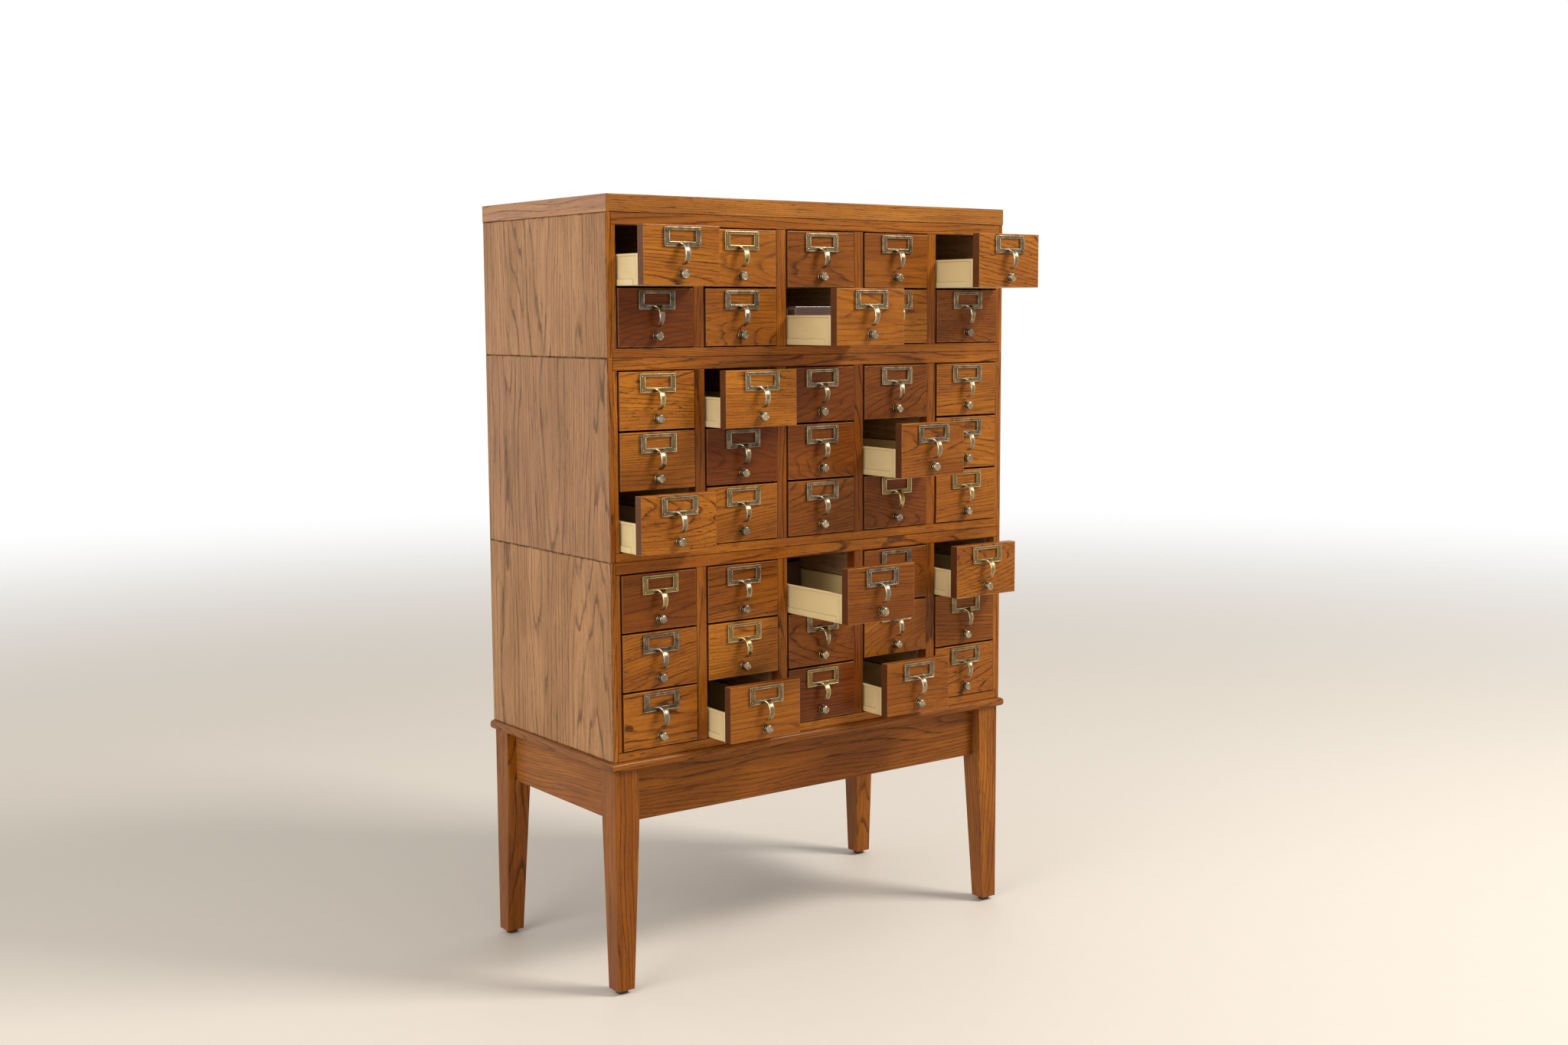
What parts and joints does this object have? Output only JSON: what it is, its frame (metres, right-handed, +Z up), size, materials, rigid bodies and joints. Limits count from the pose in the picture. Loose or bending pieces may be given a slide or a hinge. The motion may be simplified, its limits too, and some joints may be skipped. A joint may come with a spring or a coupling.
{
  "type": "index card cabinet",
  "caption": "Oak index card cabinet: stacked cases of small card drawers with label-holder pulls and card rods, under a flat top board, on a stand with tapered legs.",
  "frame": {"origin": "on the floor, in the middle of the overall box with the ten drawers drawn out as stored", "axes": "+Z up, -Y out of the drawer fronts, +X to the right of the fronts seen from the front"},
  "size_m": [0.852, 0.5918, 1.2895],
  "materials": {
    "oak_top": "satin lacquer",
    "oak_case": "satin lacquer",
    "oak_front": "satin lacquer",
    "oak_stand": "satin lacquer",
    "plain_wood": "bare",
    "tray_plastic": "moulded",
    "brass": "antiqued plating",
    "glide": "moulded",
    "steel": "zinc plated"
  },
  "bodies": {
    "cabinet": {"top_board": "oak_top", "upper_case": "oak_case", "middle_case": "oak_case", "lower_case": "oak_case", "drawer_runners": "plain_wood", "stand_top": "oak_stand", "stand_aprons": "oak_stand", "stand_legs": "oak_stand", "floor_glides": "glide", "joining_bolts": "steel"},
    "drawer_r1c1": {"drawer_r1c1": "oak_front"},
    "card_rod_r1c1": {"card_rod_r1c1": "brass"},
    "drawer_r1c2": {"drawer_r1c2": "oak_front"},
    "drawer_r1c3": {"drawer_r1c3": "oak_front"},
    "drawer_r1c4": {"drawer_r1c4": "oak_front"},
    "drawer_r1c5": {"drawer_r1c5": "oak_front"},
    "card_rod_r1c5": {"card_rod_r1c5": "brass"},
    "drawer_r2c1": {"drawer_r2c1": "oak_front"},
    "drawer_r2c2": {"drawer_r2c2": "oak_front"},
    "drawer_r2c3": {"drawer_r2c3": "oak_front"},
    "card_rod_r2c3": {"card_rod_r2c3": "brass"},
    "drawer_r2c4": {"drawer_r2c4": "oak_front"},
    "drawer_r2c5": {"drawer_r2c5": "oak_front"},
    "drawer_r3c1": {"drawer_r3c1": "oak_front"},
    "drawer_r3c2": {"drawer_r3c2": "oak_front"},
    "card_rod_r3c2": {"card_rod_r3c2": "brass"},
    "drawer_r3c3": {"drawer_r3c3": "oak_front"},
    "drawer_r3c4": {"drawer_r3c4": "oak_front"},
    "drawer_r3c5": {"drawer_r3c5": "oak_front"},
    "drawer_r4c1": {"drawer_r4c1": "oak_front"},
    "drawer_r4c2": {"drawer_r4c2": "oak_front"},
    "drawer_r4c3": {"drawer_r4c3": "oak_front"},
    "drawer_r4c4": {"drawer_r4c4": "oak_front"},
    "card_rod_r4c4": {"card_rod_r4c4": "brass"},
    "drawer_r4c5": {"drawer_r4c5": "oak_front"},
    "drawer_r5c1": {"drawer_r5c1": "oak_front"},
    "card_rod_r5c1": {"card_rod_r5c1": "brass"},
    "drawer_r5c2": {"drawer_r5c2": "oak_front"},
    "drawer_r5c3": {"drawer_r5c3": "oak_front"},
    "drawer_r5c4": {"drawer_r5c4": "oak_front"},
    "drawer_r5c5": {"drawer_r5c5": "oak_front"},
    "drawer_r6c1": {"drawer_r6c1": "oak_front"},
    "drawer_r6c2": {"drawer_r6c2": "oak_front"},
    "drawer_r6c3": {"drawer_r6c3": "oak_front"},
    "card_rod_r6c3": {"card_rod_r6c3": "brass"},
    "drawer_r6c4": {"drawer_r6c4": "oak_front"},
    "drawer_r6c5": {"drawer_r6c5": "oak_front"},
    "card_rod_r6c5": {"card_rod_r6c5": "brass"},
    "drawer_r7c1": {"drawer_r7c1": "oak_front"},
    "drawer_r7c2": {"drawer_r7c2": "oak_front"},
    "drawer_r7c3": {"drawer_r7c3": "oak_front"},
    "drawer_r7c4": {"drawer_r7c4": "oak_front"},
    "drawer_r7c5": {"drawer_r7c5": "oak_front"},
    "drawer_r8c1": {"drawer_r8c1": "oak_front"},
    "drawer_r8c2": {"drawer_r8c2": "oak_front"},
    "card_rod_r8c2": {"card_rod_r8c2": "brass"},
    "drawer_r8c3": {"drawer_r8c3": "oak_front"},
    "drawer_r8c4": {"drawer_r8c4": "oak_front"},
    "card_rod_r8c4": {"card_rod_r8c4": "brass"},
    "drawer_r8c5": {"drawer_r8c5": "oak_front"}
  },
  "joints": [
    {"name": "drawer_r1c1_slide", "type": "slide", "parent": "cabinet", "child": "drawer_r1c1", "axis": [0, -1, 0], "range_m": [-0.0755, 0.2545]},
    {"name": "card_rod_r1c1_slide", "type": "slide", "parent": "drawer_r1c1", "child": "card_rod_r1c1", "axis": [0, -1, 0], "range_m": [0, 0.38]},
    {"name": "drawer_r1c2_slide", "type": "slide", "parent": "cabinet", "child": "drawer_r1c2", "axis": [0, -1, 0], "range_m": [0, 0.33]},
    {"name": "drawer_r1c3_slide", "type": "slide", "parent": "cabinet", "child": "drawer_r1c3", "axis": [0, -1, 0], "range_m": [0, 0.33]},
    {"name": "drawer_r1c4_slide", "type": "slide", "parent": "cabinet", "child": "drawer_r1c4", "axis": [0, -1, 0], "range_m": [0, 0.33]},
    {"name": "drawer_r1c5_slide", "type": "slide", "parent": "cabinet", "child": "drawer_r1c5", "axis": [0, -1, 0], "range_m": [-0.1085, 0.2215]},
    {"name": "card_rod_r1c5_slide", "type": "slide", "parent": "drawer_r1c5", "child": "card_rod_r1c5", "axis": [0, -1, 0], "range_m": [0, 0.38]},
    {"name": "drawer_r2c1_slide", "type": "slide", "parent": "cabinet", "child": "drawer_r2c1", "axis": [0, -1, 0], "range_m": [0, 0.33]},
    {"name": "drawer_r2c2_slide", "type": "slide", "parent": "cabinet", "child": "drawer_r2c2", "axis": [0, -1, 0], "range_m": [0, 0.33]},
    {"name": "drawer_r2c3_slide", "type": "slide", "parent": "cabinet", "child": "drawer_r2c3", "axis": [0, -1, 0], "range_m": [-0.132, 0.198]},
    {"name": "card_rod_r2c3_slide", "type": "slide", "parent": "drawer_r2c3", "child": "card_rod_r2c3", "axis": [0, -1, 0], "range_m": [0, 0.38]},
    {"name": "drawer_r2c4_slide", "type": "slide", "parent": "cabinet", "child": "drawer_r2c4", "axis": [0, -1, 0], "range_m": [0, 0.33]},
    {"name": "drawer_r2c5_slide", "type": "slide", "parent": "cabinet", "child": "drawer_r2c5", "axis": [0, -1, 0], "range_m": [0, 0.33]},
    {"name": "drawer_r3c1_slide", "type": "slide", "parent": "cabinet", "child": "drawer_r3c1", "axis": [0, -1, 0], "range_m": [0, 0.33]},
    {"name": "drawer_r3c2_slide", "type": "slide", "parent": "cabinet", "child": "drawer_r3c2", "axis": [0, -1, 0], "range_m": [-0.055, 0.275]},
    {"name": "card_rod_r3c2_slide", "type": "slide", "parent": "drawer_r3c2", "child": "card_rod_r3c2", "axis": [0, -1, 0], "range_m": [0, 0.38]},
    {"name": "drawer_r3c3_slide", "type": "slide", "parent": "cabinet", "child": "drawer_r3c3", "axis": [0, -1, 0], "range_m": [0, 0.33]},
    {"name": "drawer_r3c4_slide", "type": "slide", "parent": "cabinet", "child": "drawer_r3c4", "axis": [0, -1, 0], "range_m": [0, 0.33]},
    {"name": "drawer_r3c5_slide", "type": "slide", "parent": "cabinet", "child": "drawer_r3c5", "axis": [0, -1, 0], "range_m": [0, 0.33]},
    {"name": "drawer_r4c1_slide", "type": "slide", "parent": "cabinet", "child": "drawer_r4c1", "axis": [0, -1, 0], "range_m": [0, 0.33]},
    {"name": "drawer_r4c2_slide", "type": "slide", "parent": "cabinet", "child": "drawer_r4c2", "axis": [0, -1, 0], "range_m": [0, 0.33]},
    {"name": "drawer_r4c3_slide", "type": "slide", "parent": "cabinet", "child": "drawer_r4c3", "axis": [0, -1, 0], "range_m": [0, 0.33]},
    {"name": "drawer_r4c4_slide", "type": "slide", "parent": "cabinet", "child": "drawer_r4c4", "axis": [0, -1, 0], "range_m": [-0.099, 0.231]},
    {"name": "card_rod_r4c4_slide", "type": "slide", "parent": "drawer_r4c4", "child": "card_rod_r4c4", "axis": [0, -1, 0], "range_m": [0, 0.38]},
    {"name": "drawer_r4c5_slide", "type": "slide", "parent": "cabinet", "child": "drawer_r4c5", "axis": [0, -1, 0], "range_m": [0, 0.33]},
    {"name": "drawer_r5c1_slide", "type": "slide", "parent": "cabinet", "child": "drawer_r5c1", "axis": [0, -1, 0], "range_m": [-0.0595, 0.2705]},
    {"name": "card_rod_r5c1_slide", "type": "slide", "parent": "drawer_r5c1", "child": "card_rod_r5c1", "axis": [0, -1, 0], "range_m": [0, 0.38]},
    {"name": "drawer_r5c2_slide", "type": "slide", "parent": "cabinet", "child": "drawer_r5c2", "axis": [0, -1, 0], "range_m": [0, 0.33]},
    {"name": "drawer_r5c3_slide", "type": "slide", "parent": "cabinet", "child": "drawer_r5c3", "axis": [0, -1, 0], "range_m": [0, 0.33]},
    {"name": "drawer_r5c4_slide", "type": "slide", "parent": "cabinet", "child": "drawer_r5c4", "axis": [0, -1, 0], "range_m": [0, 0.33]},
    {"name": "drawer_r5c5_slide", "type": "slide", "parent": "cabinet", "child": "drawer_r5c5", "axis": [0, -1, 0], "range_m": [0, 0.33]},
    {"name": "drawer_r6c1_slide", "type": "slide", "parent": "cabinet", "child": "drawer_r6c1", "axis": [0, -1, 0], "range_m": [0, 0.33]},
    {"name": "drawer_r6c2_slide", "type": "slide", "parent": "cabinet", "child": "drawer_r6c2", "axis": [0, -1, 0], "range_m": [0, 0.33]},
    {"name": "drawer_r6c3_slide", "type": "slide", "parent": "cabinet", "child": "drawer_r6c3", "axis": [0, -1, 0], "range_m": [-0.1605, 0.1695]},
    {"name": "card_rod_r6c3_slide", "type": "slide", "parent": "drawer_r6c3", "child": "card_rod_r6c3", "axis": [0, -1, 0], "range_m": [0, 0.38]},
    {"name": "drawer_r6c4_slide", "type": "slide", "parent": "cabinet", "child": "drawer_r6c4", "axis": [0, -1, 0], "range_m": [0, 0.33]},
    {"name": "drawer_r6c5_slide", "type": "slide", "parent": "cabinet", "child": "drawer_r6c5", "axis": [0, -1, 0], "range_m": [-0.0565, 0.2735]},
    {"name": "card_rod_r6c5_slide", "type": "slide", "parent": "drawer_r6c5", "child": "card_rod_r6c5", "axis": [0, -1, 0], "range_m": [0, 0.38]},
    {"name": "drawer_r7c1_slide", "type": "slide", "parent": "cabinet", "child": "drawer_r7c1", "axis": [0, -1, 0], "range_m": [0, 0.33]},
    {"name": "drawer_r7c2_slide", "type": "slide", "parent": "cabinet", "child": "drawer_r7c2", "axis": [0, -1, 0], "range_m": [0, 0.33]},
    {"name": "drawer_r7c3_slide", "type": "slide", "parent": "cabinet", "child": "drawer_r7c3", "axis": [0, -1, 0], "range_m": [0, 0.33]},
    {"name": "drawer_r7c4_slide", "type": "slide", "parent": "cabinet", "child": "drawer_r7c4", "axis": [0, -1, 0], "range_m": [0, 0.33]},
    {"name": "drawer_r7c5_slide", "type": "slide", "parent": "cabinet", "child": "drawer_r7c5", "axis": [0, -1, 0], "range_m": [0, 0.33]},
    {"name": "drawer_r8c1_slide", "type": "slide", "parent": "cabinet", "child": "drawer_r8c1", "axis": [0, -1, 0], "range_m": [0, 0.33]},
    {"name": "drawer_r8c2_slide", "type": "slide", "parent": "cabinet", "child": "drawer_r8c2", "axis": [0, -1, 0], "range_m": [-0.0615, 0.2685]},
    {"name": "card_rod_r8c2_slide", "type": "slide", "parent": "drawer_r8c2", "child": "card_rod_r8c2", "axis": [0, -1, 0], "range_m": [0, 0.38]},
    {"name": "drawer_r8c3_slide", "type": "slide", "parent": "cabinet", "child": "drawer_r8c3", "axis": [0, -1, 0], "range_m": [0, 0.33]},
    {"name": "drawer_r8c4_slide", "type": "slide", "parent": "cabinet", "child": "drawer_r8c4", "axis": [0, -1, 0], "range_m": [-0.0625, 0.2675]},
    {"name": "card_rod_r8c4_slide", "type": "slide", "parent": "drawer_r8c4", "child": "card_rod_r8c4", "axis": [0, -1, 0], "range_m": [0, 0.38]},
    {"name": "drawer_r8c5_slide", "type": "slide", "parent": "cabinet", "child": "drawer_r8c5", "axis": [0, -1, 0], "range_m": [0, 0.33]}
  ]
}
